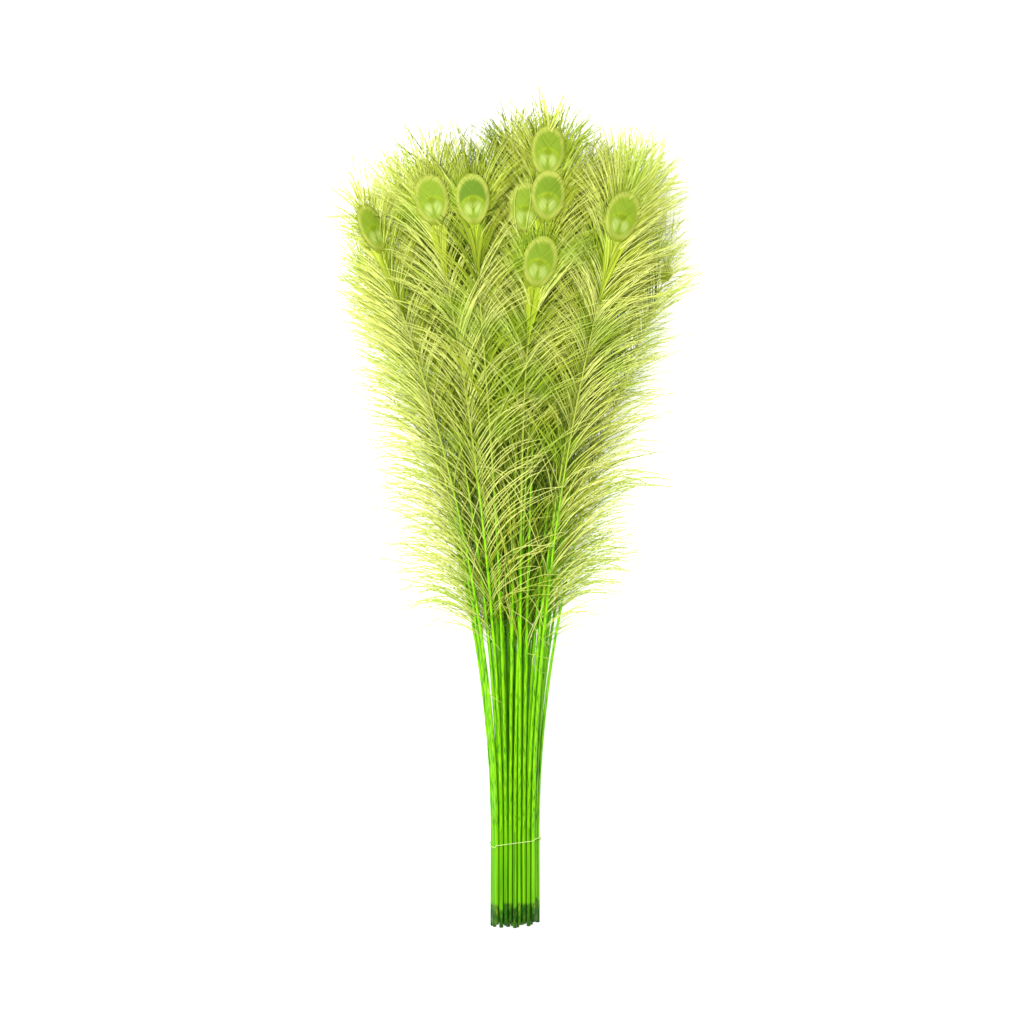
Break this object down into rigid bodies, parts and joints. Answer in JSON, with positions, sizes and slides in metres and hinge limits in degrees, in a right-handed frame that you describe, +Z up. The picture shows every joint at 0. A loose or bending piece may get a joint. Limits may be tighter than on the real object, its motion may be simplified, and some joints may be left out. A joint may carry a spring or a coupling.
{
  "type": "bunch of peacock feathers",
  "caption": "Tied bunch of lime-green dyed peacock tail eye feathers, lying down, with bare quills held by a thin string and heads fanned out.",
  "frame": {"origin": "on the surface it lies on, under the middle of the bunch's length and width", "axes": "+Y along the bunch from the cut quills to the feather tips, +X across it, +Z up from the surface"},
  "size_m": [0.4488, 0.9452, 0.1282],
  "materials": {
    "dyed_feather": "bleached and lime-green dyed feather, silky barbs and glossy bare quill",
    "string": "thin pale twisted string, matt"
  },
  "bodies": {
    "root": {"feather_01": "dyed_feather", "feather_02": "dyed_feather", "feather_03": "dyed_feather", "feather_04": "dyed_feather", "feather_05": "dyed_feather", "feather_06": "dyed_feather", "feather_07": "dyed_feather", "feather_08": "dyed_feather", "feather_09": "dyed_feather", "feather_10": "dyed_feather", "feather_11": "dyed_feather", "feather_12": "dyed_feather", "feather_13": "dyed_feather", "feather_14": "dyed_feather", "feather_15": "dyed_feather", "feather_16": "dyed_feather", "feather_17": "dyed_feather", "feather_18": "dyed_feather", "feather_19": "dyed_feather", "feather_20": "dyed_feather", "feather_21": "dyed_feather", "feather_22": "dyed_feather", "feather_23": "dyed_feather", "feather_24": "dyed_feather", "feather_25": "dyed_feather", "feather_26": "dyed_feather", "feather_27": "dyed_feather", "feather_28": "dyed_feather", "feather_29": "dyed_feather", "feather_30": "dyed_feather", "feather_31": "dyed_feather", "feather_32": "dyed_feather", "feather_33": "dyed_feather", "feather_34": "dyed_feather", "feather_35": "dyed_feather", "feather_36": "dyed_feather", "feather_37": "dyed_feather", "feather_38": "dyed_feather", "feather_39": "dyed_feather", "feather_40": "dyed_feather", "feather_41": "dyed_feather", "feather_42": "dyed_feather", "feather_43": "dyed_feather", "feather_44": "dyed_feather", "feather_45": "dyed_feather", "feather_46": "dyed_feather", "feather_47": "dyed_feather", "feather_48": "dyed_feather", "feather_49": "dyed_feather", "feather_50": "dyed_feather", "feather_51": "dyed_feather", "feather_52": "dyed_feather", "feather_53": "dyed_feather", "feather_54": "dyed_feather", "feather_55": "dyed_feather", "feather_56": "dyed_feather", "feather_57": "dyed_feather", "tie_string": "string"}
  },
  "joints": []
}
